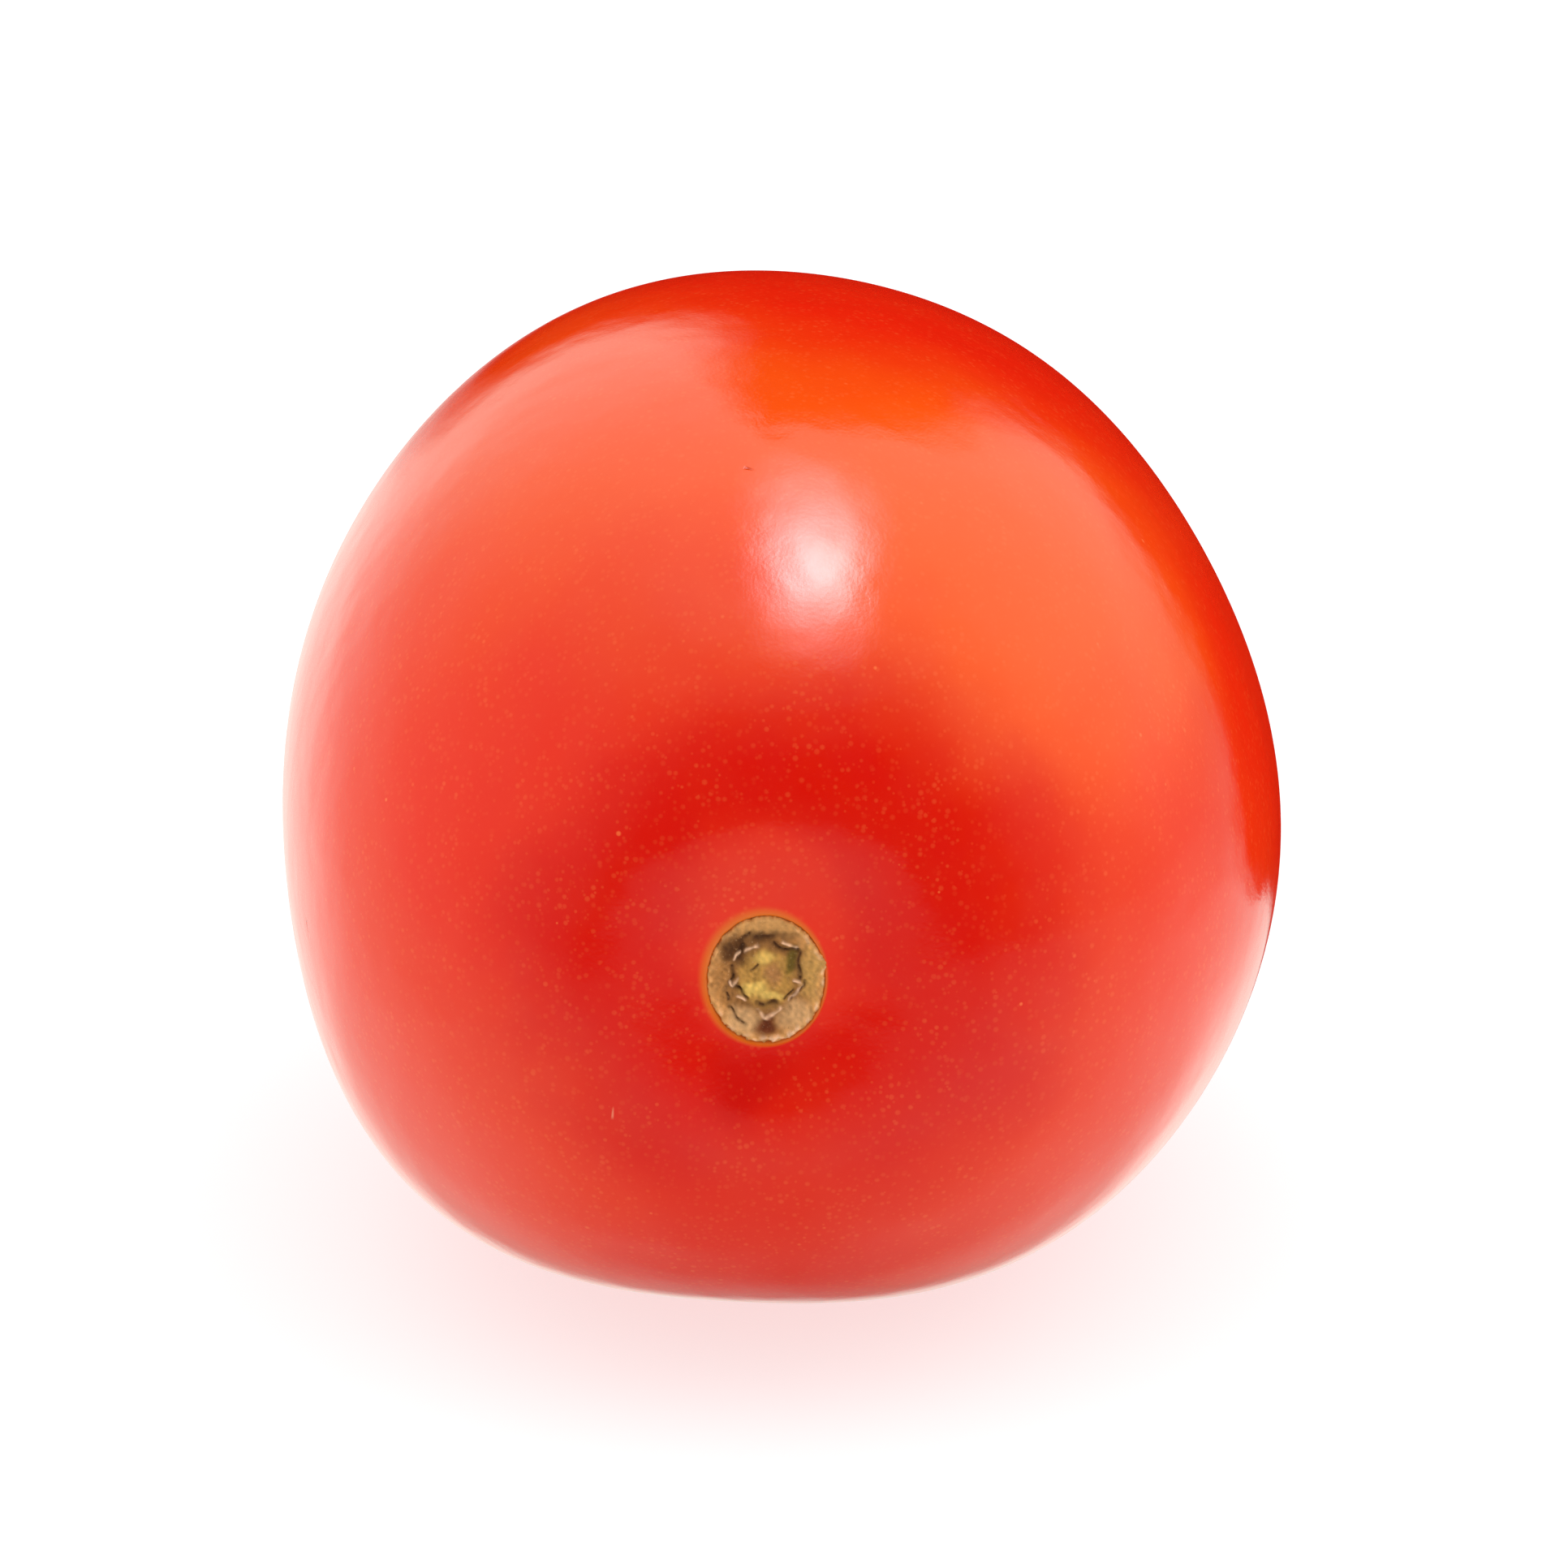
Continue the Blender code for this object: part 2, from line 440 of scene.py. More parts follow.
def flecks(nodes, in_mm, scale, smallest, biggest, strength, rarity):
    """Tiny pale spots, each with its own size and strength."""
    settings = {"Vector": in_mm, "Scale": scale, "Randomness": 1.0}
    cells = nodes.add("ShaderNodeTexVoronoi", inputs=settings)
    chance = nodes.add("ShaderNodeSeparateColor", cells.outputs["Color"])
    size = nodes.math("MULTIPLY_ADD", chance.outputs[0], biggest - smallest, smallest)
    core = nodes.math("MULTIPLY", size, FLECK_CORE)
    spot = nodes.smooth(cells.outputs["Distance"], size, core)
    power = nodes.math("MULTIPLY", nodes.math("POWER", chance.outputs[1], rarity), strength)
    return nodes.math("MULTIPLY", spot, power)


# A mark fades out between these two, as shares of its size
MARK_EDGE = 1.3
MARK_CORE = 0.5


def mark_shape(nodes, in_mm, middle, way, length, width):
    """1 inside a small stretched mark and 0 outside it."""
    offset = nodes.vector("SUBTRACT", in_mm, at_mm(middle))
    along = nodes.dot(offset, tuple(Vector(way).normalized()))
    whole = nodes.vector("LENGTH", offset, output="Value")
    squares = nodes.math("POWER", whole, 2.0), nodes.math("POWER", along, 2.0)
    across = nodes.math("SQRT", nodes.math("MAXIMUM", nodes.math("SUBTRACT", *squares), 0.0))
    far_along = nodes.math("DIVIDE", nodes.math("ABSOLUTE", along), length)
    far_across = nodes.math("DIVIDE", across, width)
    return nodes.smooth(nodes.math("MAXIMUM", far_along, far_across), MARK_EDGE, MARK_CORE)


def scar_halo(nodes, place):
    """The thin orange ring in the skin round the stem scar, widest to the left and above."""
    offset = nodes.vector("SUBTRACT", place, tuple(pole_point(0.0)))
    side = nodes.dot(offset, (2 / SCAR_WIDTH, 0, 0))
    rise = nodes.dot(offset, tuple(laid_down(np.array([0, 0, 2 / SCAR_HEIGHT])).tolist()))
    far = nodes.math("SQRT", nodes.math("MULTIPLY_ADD", side, side, nodes.math("POWER", rise, 2.0)))
    lean = nodes.math("MULTIPLY", side, -HALO_LEAN_LEFT)
    lean = nodes.math("MULTIPLY_ADD", rise, HALO_LEAN_UP, lean)
    lean = nodes.math("DIVIDE", lean, nodes.math("MAXIMUM", far, 0.5))
    reach = nodes.math("ADD", lean, HALO_REACH)
    away = nodes.vector("LENGTH", offset, output="Value")
    at_stem = nodes.math("LESS_THAN", away, STEM_END_RADIUS)
    return nodes.math("MULTIPLY", nodes.smooth(far, reach, HALO_START), at_stem)


def speckle(nodes, in_mm, mottle):
    """All three sizes of fleck. The mottle thins the smaller ones out in places."""
    fine = nodes.math("MULTIPLY", flecks(nodes, in_mm, *FINE_FLECKS), mottle)
    small = nodes.math("MULTIPLY", flecks(nodes, in_mm, *SMALL_FLECKS), mottle)
    large = flecks(nodes, in_mm, *LARGE_FLECKS)
    return nodes.math("MAXIMUM", nodes.math("MAXIMUM", fine, small), large)


def skin_material():
    material, nodes = new_material("tomato_skin")
    place, in_mm = nodes.place_in_mm()

    colour = paint_patches(nodes, in_mm)
    cloud = nodes.noise(in_mm, scale=0.30, detail=3.0, roughness=0.6)
    mottle = nodes.smooth(cloud, 0.35, 0.70, out_low=MOTTLE_FAINTEST)
    halo = nodes.math("MULTIPLY", scar_halo(nodes, place), HALO_STRENGTH)
    colour = nodes.mix(nodes.math("MULTIPLY", mottle, MOTTLE_STRENGTH), colour, MOTTLE_ORANGE)
    colour = nodes.mix(speckle(nodes, in_mm, mottle), colour, FLECK_ORANGE)
    colour = nodes.mix(halo, colour, HALO_ORANGE)

    broad = nodes.math("MULTIPLY", nodes.noise(in_mm, scale=0.22), BROAD_RELIEF)
    relief = nodes.math("MULTIPLY_ADD", nodes.noise(in_mm, scale=5.0), FINE_RELIEF, broad)
    for middle, way, length, width, show, depth, mark_colour in MARKS:
        shape = mark_shape(nodes, in_mm, middle, way, length, width)
        colour = nodes.mix(nodes.math("MULTIPLY", shape, show), colour, mark_colour)
        relief = nodes.math("MULTIPLY_ADD", shape, -depth, relief)

    # How far it is from the blossom end, with a ragged edge
    tip = nodes.distance(place, tuple(pole_point(math.pi)))
    tip = nodes.math("MULTIPLY_ADD", nodes.noise(in_mm, scale=1.6, detail=3.0), TIP_RAGGED, tip)
    for start, full, show, zone_colour in TIP_ZONES:
        zone = nodes.smooth(tip, start * MM, full * MM, out_high=show)
        colour = nodes.mix(zone, colour, zone_colour)
    rise = nodes.smooth(tip, 1.6 * MM, 1.0 * MM, out_high=TIP_RELIEF)
    relief = nodes.math("ADD", relief, rise)

    wear = nodes.noise(in_mm, scale=0.5, detail=3.0)
    roughness = nodes.smooth(wear, 0.3, 0.7, *SKIN_ROUGHNESS)
    roughness = nodes.smooth(tip, 1.9 * MM, 1.3 * MM, roughness, TIP_ROUGHNESS)
    gloss = {"Roughness": roughness, "IOR": SKIN_IOR}
    finish_material(nodes, {"Base Color": colour, "Normal": nodes.bump(relief), **gloss})
    return material


skin_mesh.materials.append(skin_material())
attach(skin, "root")
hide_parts("tomato")


# ---------------------------------------------------------------- stem scar

# A place on the scar is (right, up) in shares of its half-width and half-height, as the camera
# sees it. Heights are in millimetres above the skin round it.
SCAR_STEPS = 192
SCAR_RINGS_FINE = 72
SCAR_MIDDLE = 0.012
SCAR_EDGE = 1.10
CREAM = (0.80, 0.375, 0.120)
PALE_CREAM_AND_HIGHLIGHT = (0.96, 0.57, 0.34)
SAND = (0.63, 0.31, 0.095)
KHAKI = (0.56, 0.30, 0.077)
TAN = (0.45, 0.19, 0.050)
BROWN_AND_SHADE = (0.085, 0.026, 0.005)
UMBER_AND_SHADE = (0.080, 0.028, 0.008)
RED_BROWN = (0.14, 0.022, 0.004)
OLIVE = (0.50, 0.25, 0.052)
YELLOW_GREEN = (0.86, 0.56, 0.130)
MOSS = (0.11, 0.075, 0.006)
ROSE_TAN = (0.40, 0.155, 0.055)
RUST = (0.60, 0.14, 0.012)
GREY_BEIGE = (0.66, 0.365, 0.155)
PORE_BROWN = (0.10, 0.035, 0.009, 1)
PORE_CREAM = (0.86, 0.52, 0.23, 1)
CORK_RELIEF = 0.10
CORK_ROUGHNESS = (0.85, 0.6)
CORK_SPECULAR = 0.2
# The pith in the middle, the raised rim, its lip, and the skin, in shares of the scar's size
PITH_RADIUS = 0.47
RIM_START = 0.83
LIP_PLACE = 0.95
SKIN_START = 0.985
# The height of the ground between them, and the lowest that any part goes
SCAR_GROUND = -0.06
SCAR_LOWEST = -0.26
# The widths and depths listed below are made smaller by these factors
SPLIT_NARROWING = 0.75
SPLIT_SHALLOWING = 0.8
SLIVER_NARROWING = 0.70
# Dark splits where the stem's vessels were, painted dark partly as the shade inside them: points
# along each, its width, and its depth
SPLITS = (
    (((-0.41, 0.62), (-0.24, 0.74)), 0.050, 0.16),
    (((-0.13, 0.69), (0.10, 0.67)), 0.055, 0.16),
    (((0.13, 0.57), (0.32, 0.50), (0.49, 0.46)), 0.038, 0.18),
    (((0.55, 0.44), (0.58, 0.15), (0.54, 0.00)), 0.045, 0.18),
    (((0.63, -0.02), (0.66, -0.13), (0.41, -0.37)), 0.040, 0.20),
    (((0.44, -0.19), (0.30, -0.30)), 0.035, 0.16),
    (((-0.15, -0.37), (0.00, -0.42), (0.15, -0.37)), 0.060, 0.20),
    (((-0.58, 0.17), (-0.62, -0.02), (-0.49, -0.15)), 0.045, 0.20),
    (((-0.46, -0.16), (-0.30, -0.27)), 0.035, 0.18),
    (((-0.63, -0.24), (-0.61, -0.37)), 0.035, 0.14),
    (((-0.61, -0.52), (-0.49, -0.62), (-0.35, -0.72)), 0.035, 0.14),
    (((-0.49, 0.35), (-0.36, 0.56)), 0.045, 0.16),
    (((-0.24, 0.13), (-0.13, 0.25)), 0.028, 0.08),
)
# Pale edges that stand up beside the splits, painted pale partly as their highlight: points along
# each, its width, and its height
SLIVERS = (
    (((-0.62, -0.06), (-0.56, -0.10), (-0.48, 0.01)), 0.036, 0.14),
    (((0.49, 0.00), (0.61, -0.11), (0.55, -0.21), (0.37, -0.31)), 0.034, 0.14),
    (((0.27, 0.59), (0.48, 0.54)), 0.034, 0.09),
    (((-0.32, 0.46), (-0.15, 0.54)), 0.034, 0.08),
    (((-0.54, 0.35), (-0.44, 0.46)), 0.026, 0.06),
    (((-0.47, -0.30), (-0.35, -0.33)), 0.036, 0.09),
    (((-0.15, -0.48), (0.00, -0.63), (0.21, -0.47)), 0.034, 0.14),
)
# Patches of colour, the dark brown ones partly painted shade: middle, half-sizes, how strongly they
# cover, colour, and how far they rise
SCAR_PATCHES = (
    ((0.05, 0.82), (0.60, 0.17), 0.90, SAND, 0.03),
    ((0.74, 0.12), (0.20, 0.50), 0.85, KHAKI, 0.03),
    ((-0.80, 0.02), (0.16, 0.32), 0.80, TAN, 0.00),
    # Painted shade: dark brown at the upper left and along the top, inside the rim
    ((-0.52, 0.50), (0.26, 0.26), 0.90, BROWN_AND_SHADE, -0.07),
    ((-0.05, 0.68), (0.26, 0.12), 0.75, BROWN_AND_SHADE, -0.06),
    ((0.32, 0.73), (0.20, 0.09), 0.50, BROWN_AND_SHADE, -0.03),
    ((-0.36, -0.67), (0.30, 0.20), 0.90, GREY_BEIGE, 0.07),
    ((0.46, -0.60), (0.30, 0.22), 0.85, GREY_BEIGE, 0.04),
    ((0.02, -0.77), (0.19, 0.14), 0.95, RED_BROWN, -0.10),
    ((0.42, 0.32), (0.12, 0.22), 0.85, MOSS, -0.03),
    ((0.12, 0.08), (0.17, 0.16), 0.70, ROSE_TAN, 0.02),
    ((-0.22, -0.14), (0.22, 0.12), 0.75, YELLOW_GREEN, 0.03),
    ((0.08, -0.25), (0.22, 0.08), 0.75, YELLOW_GREEN, 0.04),
    ((-0.02, 0.34), (0.16, 0.10), 0.55, YELLOW_GREEN, 0.03),
)
# The small tab that sticks out of the rim: its angle, its width in degrees, and its reach as a
# share
TAB_ANGLE = 73
TAB_WIDTH = 6
TAB_REACH = 0.09


def ripples(seed, x, y, waves_across, count=28):
    """Soft random waves of about 1 high, the same on every run."""
    chance = np.random.default_rng(seed)
    turns = chance.uniform(0, math.tau, count)
    rates = waves_across * chance.uniform(0.5, 1.5, count) * math.pi
    starts = chance.uniform(0, math.tau, count)
    total = 0.0
    for turn, rate, start in zip(turns, rates, starts):
        total = total + np.cos(rate * (x * math.cos(turn) + y * math.sin(turn)) + start)
    return total / math.sqrt(count / 2) / 1.6


def along_line(right, up, points, width):
    """1 on a line through the points, fading to 0 over its width."""
    nearest = np.full(right.shape, np.inf)
    for (x0, y0), (x1, y1) in zip(points, points[1:]):
        dx = x1 - x0
        dy = y1 - y0
        share = np.clip(((right - x0) * dx + (up - y0) * dy) / (dx * dx + dy * dy), 0, 1)
        away = np.hypot(right - x0 - share * dx, up - y0 - share * dy)
        nearest = np.minimum(nearest, away)
    return np.exp(-((nearest / width) ** 2))


def soft_step(value, softness):
    """0 below zero and 1 above it, with a soft change between them."""
    return 1 / (1 + np.exp(-value / softness))


def blend(colours, mask, colour):
    return colours * (1 - mask[..., None]) + np.array(colour) * mask[..., None]


def wobbled(right, up, seed, reach, waves_across):
    """The same places moved a little, so that straight lines and round patches come out uneven."""
    return (
        right + reach * ripples(seed, right, up, waves_across),
        up + reach * ripples(seed + 1, right, up, waves_across),
    )


def scar_relief(right, up, share, around):
    """Heights and colours of the corky scar."""
    grain = ripples(3, right, up, 7)
    fine = ripples(4, right, up, 16)
    speckle = ripples(7, right, up, 11)
    edge_wave = ripples(5, np.sin(around), np.cos(around), 9)
    edge_teeth = ripples(6, np.sin(around), np.cos(around), 26)

    # The ground and the pith in its middle
    colours = np.empty((*right.shape, 3))
    colours[:] = TAN
    colours = blend(colours, np.clip((0.85 - share) / 0.3, 0, 1) * 0.4, BROWN_AND_SHADE)
    from_middle = np.hypot(right, (up - 0.02) * 1.05)
    pith = soft_step(PITH_RADIUS + 0.03 * grain - from_middle, 0.035)
    colours = blend(colours, pith, OLIVE)
    heights = SCAR_GROUND + 0.05 * pith + 0.020 * grain + 0.012 * fine

    # The rim, and its pale lip, with a painted highlight on the lip's lower right, the side that
    # faces the light
    rim = soft_step(share - RIM_START - 0.045 * grain, 0.022)
    colours = blend(colours, rim * np.clip(0.62 + 0.25 * speckle, 0, 1), CREAM)
    lip = np.exp(-(((share - LIP_PLACE - 0.018 * edge_wave) / 0.045) ** 2))
    colours = blend(colours, lip * np.clip(0.45 + 0.45 * speckle, 0, 0.9), CREAM)
    lit_side = np.clip(0.50 + 0.40 * np.sin(around) - 0.40 * np.cos(around), 0.1, 1)
    lip_spots_and_highlight = lip * lit_side * np.clip((speckle - 0.1) / 0.5, 0, 1)
    colours = blend(colours, lip_spots_and_highlight, PALE_CREAM_AND_HIGHLIGHT)
    heights = heights + rim * 0.06 + lip * (0.08 + 0.05 * speckle)

    # Patches, splits and slivers
    places = wobbled(right, up, 8, 0.035, 5)
    for (x, y), (wide, high), cover, colour, rise in SCAR_PATCHES:
        away = ((places[0] - x) / wide) ** 2 + ((places[1] - y) / high) ** 2
        mask = np.exp(-(away**2))
        colours = blend(colours, mask * cover, colour)
        heights = heights + mask * rise
    for points, width, depth in SPLITS:
        line = along_line(*places, points, width * SPLIT_NARROWING)
        mask = line * np.clip(0.85 + 0.35 * fine, 0, 1)
        colours = blend(colours, mask, UMBER_AND_SHADE)
        heights = heights - mask * depth * SPLIT_SHALLOWING
    places = wobbled(right, up, 10, 0.020, 9)
    for points, width, height in SLIVERS:
        line = along_line(*places, points, width * SLIVER_NARROWING)
        mask = line * np.clip(0.80 + 0.50 * speckle, 0.2, 1)
        colours = blend(colours, mask, PALE_CREAM_AND_HIGHLIGHT)
        heights = heights + mask * height

    # The edge dips under the skin, and takes its colour
    outside = share - SKIN_START - 0.018 * edge_teeth - 0.012 * edge_wave
    outside = np.clip(outside / 0.07, 0, 1.5)
    colours = blend(colours, np.clip(outside * 1.6, 0, 0.9), RUST)
    heights = heights - outside * 0.30
    shading = 1 + 0.15 * fine + 0.09 * grain
    return np.maximum(heights, SCAR_LOWEST), colours * shading[..., None]


def paint_scar(mesh, colours):
    """Gives each point of the scar its colour. The pole takes that of the ring round it."""
    ring_points = colours.reshape(-1, 3)
    shades = np.ones((len(mesh.vertices), 4))
    shades[: len(ring_points), :3] = ring_points
    shades[len(ring_points) :, :3] = colours[0].mean(axis=0)
    layer = mesh.color_attributes.new("scar_colour", "FLOAT_COLOR", "POINT")
    layer.data.foreach_set("color", shades.ravel())


def scar_piece():
    around = np.linspace(0, math.tau, SCAR_STEPS, endpoint=False)
    share = np.linspace(SCAR_MIDDLE, SCAR_EDGE, SCAR_RINGS_FINE)
    share, around = np.meshgrid(share, around, indexing="ij")
    right = share * np.sin(around)
    up = share * np.cos(around)
    off_tab = (np.degrees(around) - TAB_ANGLE) / TAB_WIDTH
    tab = 1 + TAB_REACH * np.exp(-(off_tab**2)) * np.clip(share / 0.9, 0, 1) ** 6
    radius = share * scar_radius(around) * tab
    heights, colours = scar_relief(right, up, share, around)
    points = skin_points(angle_at(radius), around, radius)
    points[..., 1] -= heights * MM
    points = laid_down(points) + np.array(centre)
    mesh = grid_mesh("stem_scar", points, closed_end=False)
    paint_scar(mesh, colours)
    flat = np.zeros((len(mesh.vertices), 3))
    flat[: right.size, 0] = right.ravel() / SCAR_EDGE
    flat[: right.size, 1] = up.ravel() / SCAR_EDGE
    bake_layout(mesh, corner_points(mesh, flat)[0][:, :2])
    return add_object("stem_scar", mesh)


def scar_material():
    material, nodes = new_material("stem_scar")
    in_mm = nodes.place_in_mm()[1]
    painted = nodes.add("ShaderNodeVertexColor", layer_name="scar_colour").outputs["Color"]
    pores = nodes.noise(in_mm, scale=7.0, detail=4.0, roughness=0.7)
    colour = nodes.mix(nodes.smooth(pores, 0.42, 0.25, out_high=0.45), painted, PORE_BROWN)
    colour = nodes.mix(nodes.smooth(pores, 0.58, 0.75, out_high=0.30), colour, PORE_CREAM)
    grain = nodes.noise(in_mm, scale=6.0, detail=4.0, roughness=0.7)
    relief = nodes.math("MULTIPLY", grain, CORK_RELIEF)
    roughness = nodes.smooth(pores, 0.3, 0.7, *CORK_ROUGHNESS)
    gloss = {"Roughness": roughness, "Specular IOR Level": CORK_SPECULAR}
    finish_material(nodes, {"Base Color": colour, "Normal": nodes.bump(relief), **gloss})
    return material


scar = scar_piece()
scar.data.materials.append(scar_material())
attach(scar, "root")


# ---------------------------------------------------------------- studio

# How bright the studio is in each direction, as the gloss mirrors it. Each row is one elevation, and
# its pairs go once round: an angle from -180 to 180, where 0 is towards the camera and 90 to its
# right, and how bright it is there. The camera's side is dark.
SURROUNDINGS = (
    (-89, ((-180, 0.35), (180, 0.35))),
    (-72, ((-180, 0.25), (-120, 0.60), (-60, 0.45), (0, 0.35), (90, 0.65), (150, 0.40),
           (180, 0.25))),
    (-47, ((-180, 0.35), (-172, 0.5), (-160, 0.6), (-140, 0.9), (-100, 1.0), (-60, 0.6),
           (-30, 0.35), (10, 0.4), (60, 0.55), (100, 0.9), (144, 0.9), (162, 0.6), (173, 0.35),
           (180, 0.35))),
    (-33, ((-180, 0.9), (-172, 1.1), (-160, 1.15), (-140, 1.0), (-100, 1.0), (-60, 0.6),
           (-30, 0.35), (10, 0.45), (60, 0.6), (100, 1.0), (135, 1.2), (160, 1.5), (175, 1.1),
           (180, 0.9))),
    (-22, ((-180, 1.0), (-160, 1.25), (-147, 1.35), (-120, 0.95), (-80, 0.65), (-45, 0.42),
           (-15, 0.36), (10, 0.40), (50, 0.45), (85, 0.75), (115, 1.0), (130, 0.9),
           (180, 0.9))),
    (-12, ((-180, 1.1), (-155, 1.35), (-120, 0.9), (-85, 0.65), (-50, 0.42), (-25, 0.24),
           (-10, 0.28), (5, 0.28), (30, 0.27), (60, 0.42), (85, 0.6), (110, 0.65), (130, 0.45),
           (180, 0.5))),
    (-5, ((-180, 1.1), (-155, 1.15), (-140, 0.95), (-85, 0.64), (-50, 0.36), (-22, 0.05),
          (45, 0.03), (75, 0.35), (110, 0.5), (140, 0.32), (180, 0.6))),
    (12, ((-180, 1.1), (-155, 0.95), (-140, 0.72), (-85, 0.56), (-50, 0.36), (-20, 0.06),
          (10, 0.0), (45, 0.02), (75, 0.35), (110, 0.75), (150, 0.8), (180, 0.8))),
    (27, ((-180, 1.15), (-160, 1.05), (-140, 0.80), (-110, 0.56), (-80, 0.50), (-50, 0.38),
          (-20, 0.08), (10, 0.0), (40, 0.02), (65, 0.42), (100, 0.85), (140, 0.9), (180, 0.9))),
    (42, ((-180, 1.15), (-130, 0.75), (-80, 0.50), (-50, 0.40), (-10, 0.10), (40, 0.10),
          (65, 0.42), (100, 0.85), (150, 0.95), (180, 1.0))),
    (54, ((-180, 1.1), (-150, 1.0), (-110, 0.7), (-60, 0.50), (-10, 0.35), (40, 0.4),
          (70, 0.55), (120, 0.9), (180, 1.1))),
    (78, ((-180, 1.0), (-90, 0.9), (0, 0.9), (90, 0.9), (180, 1.0))),
)
# How strongly the surroundings show in each colour
SURROUNDINGS_TINT = (1.0, 0.96, 0.88, 1)
# A deep red card stands behind the fruit. At each elevation, it reaches this many degrees to the
# left and to the right of straight behind.
RED_CARD = (0.50, 0.012, 0.004, 1)
CARD_REACH = (
    (-27, 0, 0), (-23, 6, 38), (-19, 10, 45), (-14, 17, 46), (-8, 22, 41), (-3, 24, 39), (2, 22, 36),
    (6, 18, 31), (11, 13, 27), (18, 9, 26), (25, 9, 28), (33, 9, 26), (40, 8, 18), (48, 0, 0),
)
# How far inside its edge the card is full, and the reach that a full colour of its ramp stands for
CARD_SOFTNESS = 10.0
CARD_WIDEST = 90
# The soft boxes overhead, as they would lie on a ceiling one metre up: how bright, and for each
# of X and Y the middle and the distance at which the glow has faded out
SOFT_BOXES = (
    (6.6, (0.18, 0.23), (0.03, 0.42)),
    (5.4, (0.175, 0.28), (0.10, 0.80)),
)
SOFT_BOX_TINT = (1.0, 1.0, 1.09, 1)
# The soft boxes show only in directions that rise by more than this
LOWEST_SOFT_BOX = 0.05
# The fill on matt surfaces: how bright it is all round, how much more comes from overhead, and
# how much more, as a share, comes up from the pale floor
FILL_AROUND = 1.20
FILL_OVERHEAD = 0.75
FILL_FLOOR = 0.55
# The overhead fill's azimuth and elevation, and how narrow it is
OVERHEAD_FROM = (50, 60)
OVERHEAD_POWER = 3.0
# Where the fill is dimmed, as a share: on the camera's side, behind, and under the fruit. Each
# has its azimuth and elevation, and how far it reaches and how far it is full, in degrees.
FILL_SHADES = (
    (0.68, 5, 18, 60, 25),
    (0.90, 172, 2, 52, 24),
    (0.90, 0, -90, 60, 10),
)

FLOOR_STEPS = 96
FLOOR_RADIUS = 0.26
# How far behind the fruit the floor's middle is, as a share of its radius
FLOOR_FURTHER_BACK = 0.3
FLOOR_WHITE = (0.45, 0.45, 0.45, 1)
FLOOR_GLOW = 1.45


def direction(azimuth, elevation):
    """Azimuth 0 points along -Y, towards the camera, and 90 along +X, in degrees."""
    a = math.radians(azimuth)
    e = math.radians(elevation)
    return Vector((math.sin(a) * math.cos(e), -math.cos(a) * math.cos(e), math.sin(e)))


def ramp_of(nodes, position, stops):
    """A colour ramp through pairs of position and colour."""
    ramp = nodes.add("ShaderNodeValToRGB", position)
    elements = ramp.color_ramp.elements
    for index, (place, colour) in enumerate(stops):
        stop = elements[index] if index < 2 else elements.new(place)
        stop.position = place
        stop.color = (*colour, 1)
    return ramp.outputs[0]


def card_cover(nodes, x, y, height):
    """1 in the directions that the red card fills."""
    stops = []
    for level, to_left, to_right in CARD_REACH:
        stops.append(((level + 90) / 180, (to_left / CARD_WIDEST, to_right / CARD_WIDEST, 0)))
    reach = ramp_of(nodes, nodes.math("MULTIPLY_ADD", height, 1 / 180, 0.5), stops)
    left, right, _ = nodes.add("ShaderNodeSeparateColor", reach).outputs
    from_behind = nodes.math("DEGREES", nodes.math("ARCTAN2", x, y))
    sides = []
    for width, turn in ((right, from_behind), (left, nodes.math("MULTIPLY", from_behind, -1.0))):
        edge = nodes.math("MULTIPLY", width, CARD_WIDEST)
        cover = nodes.smooth(turn, edge, nodes.math("SUBTRACT", edge, CARD_SOFTNESS))
        on_this_side = nodes.math("GREATER_THAN", turn, 0.0)
        sides.append(nodes.math("MULTIPLY", cover, on_this_side))
    return nodes.math("MAXIMUM", *sides)


def surroundings(nodes, x, y, height):
    """The rows, blended from each one to the next above it."""
    turn = nodes.math("ARCTAN2", x, nodes.math("MULTIPLY", y, -1.0))
    turn = nodes.math("MULTIPLY_ADD", turn, 1 / math.tau, 0.5)
    rings = []
    for _, row in SURROUNDINGS:
        stops = [((angle + 180) / 360, (glow, glow, glow)) for angle, glow in row]
        rings.append(ramp_of(nodes, turn, stops))
    levels = [level for level, _ in SURROUNDINGS]
    brightness = rings[0]
    for lower, level, ring in zip(levels, levels[1:], rings[1:]):
        brightness = nodes.mix(nodes.smooth(height, lower, level), brightness, ring)
    return nodes.mix(1.0, brightness, SURROUNDINGS_TINT, "MULTIPLY")


def soft_box(nodes, x, y, z, glow, sides):
    """The glow of one soft box on the ceiling."""
    up = nodes.math("MAXIMUM", z, LOWEST_SOFT_BOX)
    for axis, (middle, reach) in zip((x, y), sides):
        along = nodes.math("DIVIDE", axis, up)
        off = nodes.math("ABSOLUTE", nodes.math("SUBTRACT", along, middle))
        glow = nodes.math("MULTIPLY", glow, nodes.smooth(off, reach, 0.0))
    return nodes.math("MULTIPLY", glow, nodes.math("GREATER_THAN", z, LOWEST_SOFT_BOX))


def mirrored_studio(nodes, way):
    """The brightness that the gloss mirrors, from the rows, the card and the soft boxes above."""
    x, y, z = nodes.add("ShaderNodeSeparateXYZ", way).outputs
    height = nodes.math("DEGREES", nodes.math("ARCSINE", z))
    brightness = surroundings(nodes, x, y, height)
    brightness = nodes.mix(card_cover(nodes, x, y, height), brightness, RED_CARD)
    for strength, *sides in SOFT_BOXES:
        glow = soft_box(nodes, x, y, z, strength, sides)
        glow = nodes.mix(1.0, glow, SOFT_BOX_TINT, "MULTIPLY")
        brightness = nodes.vector("ADD", brightness, glow)
    return brightness


def lobe(nodes, way, azimuth, elevation, reach, core):
    """1 near a direction and 0 beyond its reach, in degrees."""
    near = nodes.dot(way, tuple(direction(azimuth, elevation)))
    return nodes.smooth(near, math.cos(math.radians(reach)), math.cos(math.radians(core)))


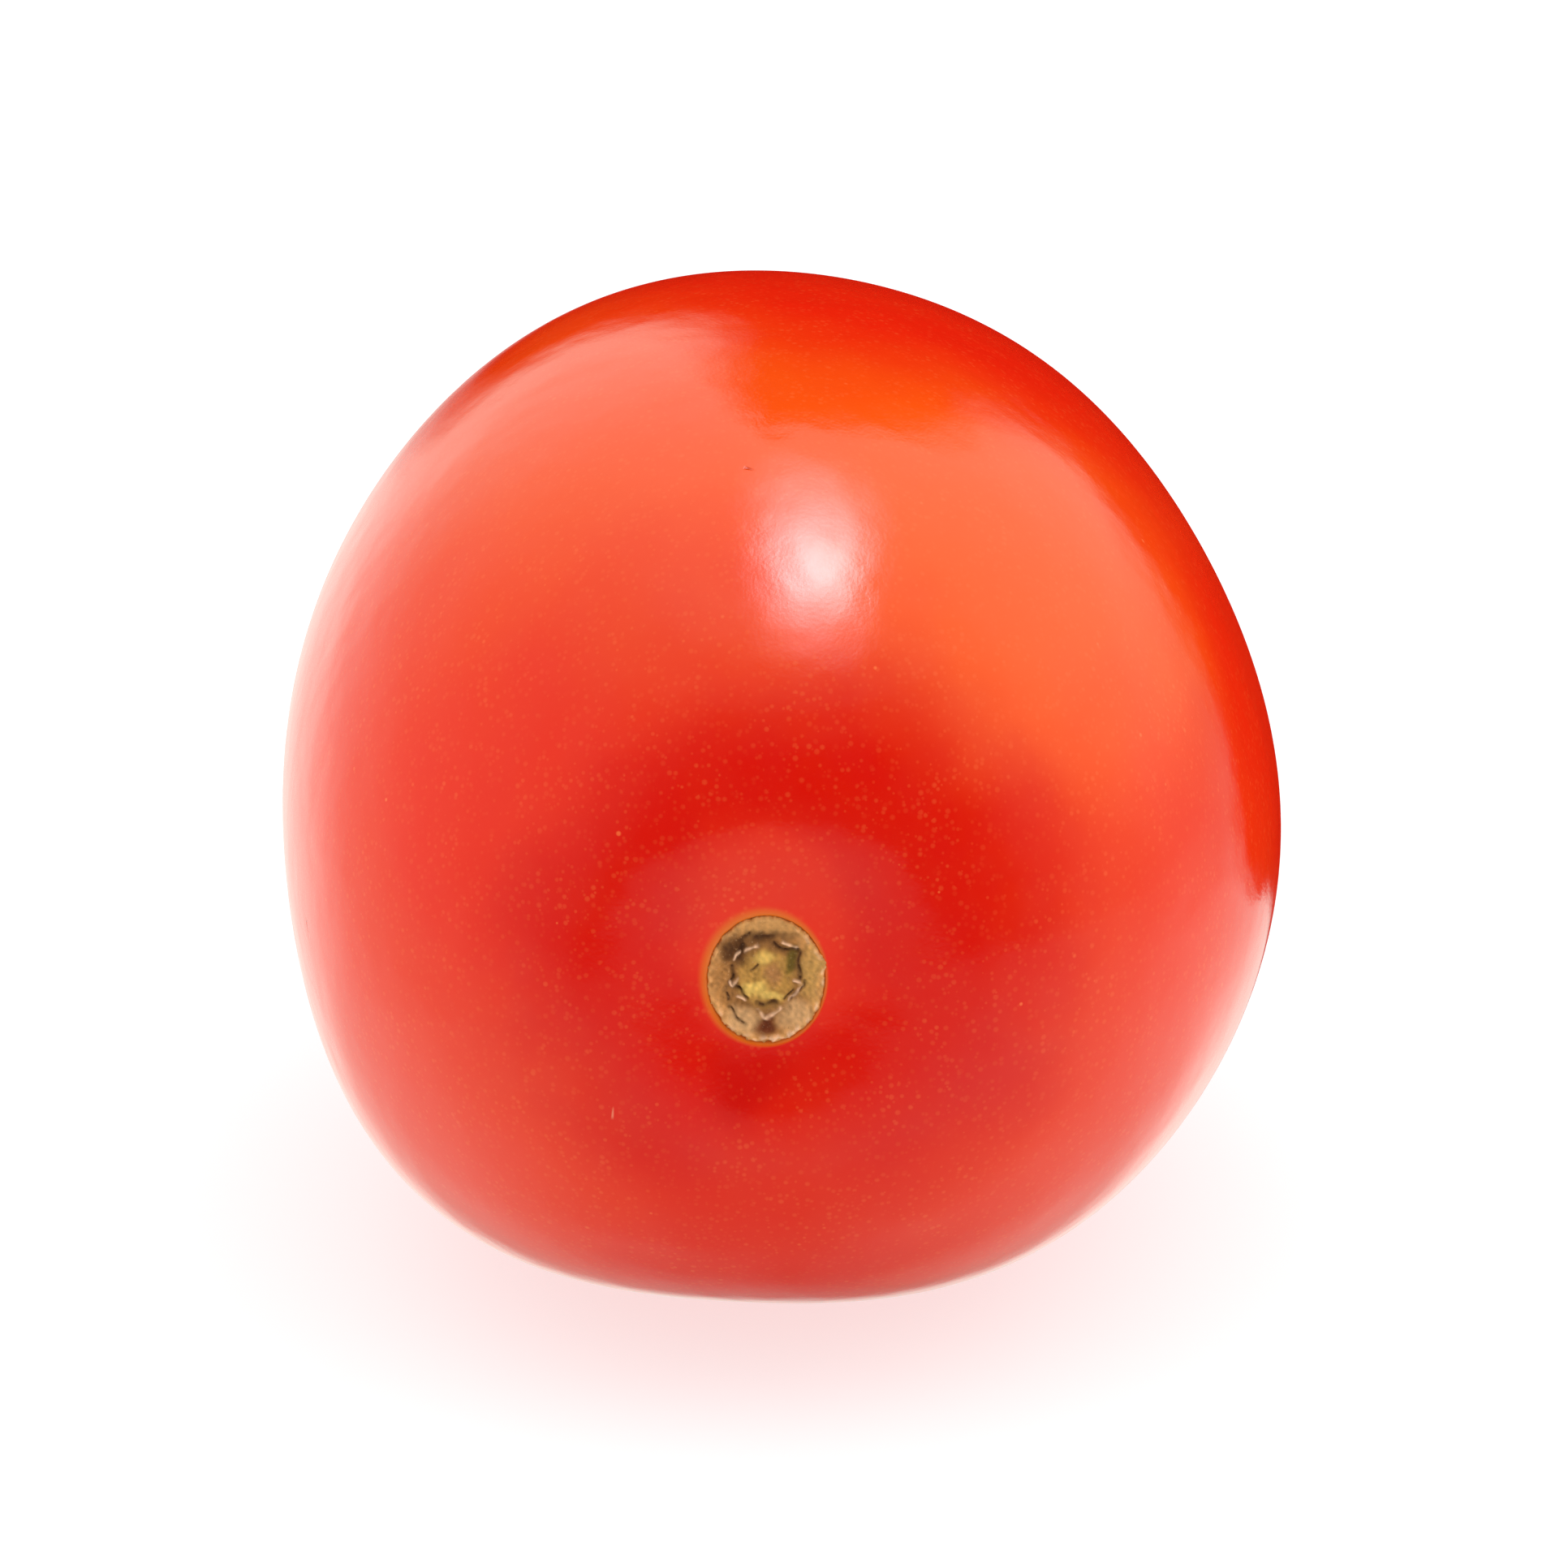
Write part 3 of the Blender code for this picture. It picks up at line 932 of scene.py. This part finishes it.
def soft_fill(nodes, way):
    """The even light on matt surfaces: brightest overhead, and dim on the camera's side."""
    overhead = nodes.math("MAXIMUM", nodes.dot(way, tuple(direction(*OVERHEAD_FROM))), 0.0)
    overhead = nodes.math("POWER", overhead, OVERHEAD_POWER)
    depth = nodes.dot(way, (0, 0, -1))
    around = nodes.smooth(depth, -0.05, 0.40, FILL_AROUND, FILL_AROUND * (1 + FILL_FLOOR))
    for shade, *place in FILL_SHADES:
        dimmed = nodes.math("MULTIPLY_ADD", lobe(nodes, way, *place), -shade, 1.0)
        around = nodes.math("MULTIPLY", around, dimmed)
    return nodes.math("MULTIPLY_ADD", overhead, FILL_OVERHEAD, around)


def build_world():
    """All the light: white behind, the fill on matt surfaces, and the studio in the gloss."""
    world = bpy.data.worlds.new("studio")
    bpy.context.scene.world = world
    world.use_nodes = True
    world.node_tree.nodes.clear()
    world.cycles.sampling_method = "NONE"
    nodes = Nodes(world.node_tree)
    way = nodes.add("ShaderNodeTexCoord").outputs["Generated"]
    path = nodes.add("ShaderNodeLightPath")
    in_gloss = mirrored_studio(nodes, way)
    glow = nodes.mix(path.outputs["Is Diffuse Ray"], in_gloss, soft_fill(nodes, way))
    glow = nodes.mix(path.outputs["Is Camera Ray"], glow, (1, 1, 1, 1))
    background = nodes.add("ShaderNodeBackground", glow, 1.0)
    nodes.add("ShaderNodeOutputWorld", background.outputs[0])


def build_floor():
    """A round pale floor that glows a little, so that only a soft shadow shows on it."""
    rim = []
    for angle in np.arange(FLOOR_STEPS) * math.tau / FLOOR_STEPS:
        along = FLOOR_RADIUS * (FLOOR_FURTHER_BACK + math.sin(angle))
        rim.append((FLOOR_RADIUS * math.cos(angle), along, 0))
    mesh = bpy.data.meshes.new("floor")
    mesh.from_pydata(rim, [], [tuple(range(FLOOR_STEPS))])
    sheet = add_object("floor", mesh)
    material, nodes = new_material("white_floor")
    matt = {"Roughness": 1.0, "Specular IOR Level": 0.0}
    glow = {"Emission Color": FLOOR_WHITE, "Emission Strength": FLOOR_GLOW}
    finish_material(nodes, {"Base Color": FLOOR_WHITE, **matt, **glow})
    mesh.materials.append(material)
    sheet.visible_glossy = False
    sheet.visible_diffuse = False


build_world()
build_floor()

# ---------------------------------------------------------------- camera

VIEW_AZIMUTH = 0.75
VIEW_ELEVATION = 23.8
VIEW_DISTANCE = 0.65
# How wide the view is at the fruit
VIEW_WIDTH = 79.1 * MM
# Where the camera aims, from the fruit's centre
AIM_RIGHT = 0.46 * MM
AIM_DOWN = 0.48 * MM

camera_data = bpy.data.cameras.new("camera")
camera_data.sensor_width = 36
camera_data.lens = camera_data.sensor_width * VIEW_DISTANCE / VIEW_WIDTH
camera_data.clip_start = 0.01
camera_data.clip_end = 20
camera = bpy.data.objects.new("camera", camera_data)
bpy.context.scene.collection.objects.link(camera)
back = direction(VIEW_AZIMUTH, VIEW_ELEVATION)
camera.rotation_mode = "QUATERNION"
camera.rotation_quaternion = (-back).to_track_quat("-Z", "Y")
side = camera.rotation_quaternion @ Vector((1, 0, 0))
rise = camera.rotation_quaternion @ Vector((0, 1, 0))
target = centre + side * AIM_RIGHT - rise * AIM_DOWN
camera.location = target + back * VIEW_DISTANCE
bpy.context.scene.camera = camera
bpy.context.scene.view_settings.view_transform = "Standard"
bpy.context.scene.view_settings.look = "None"
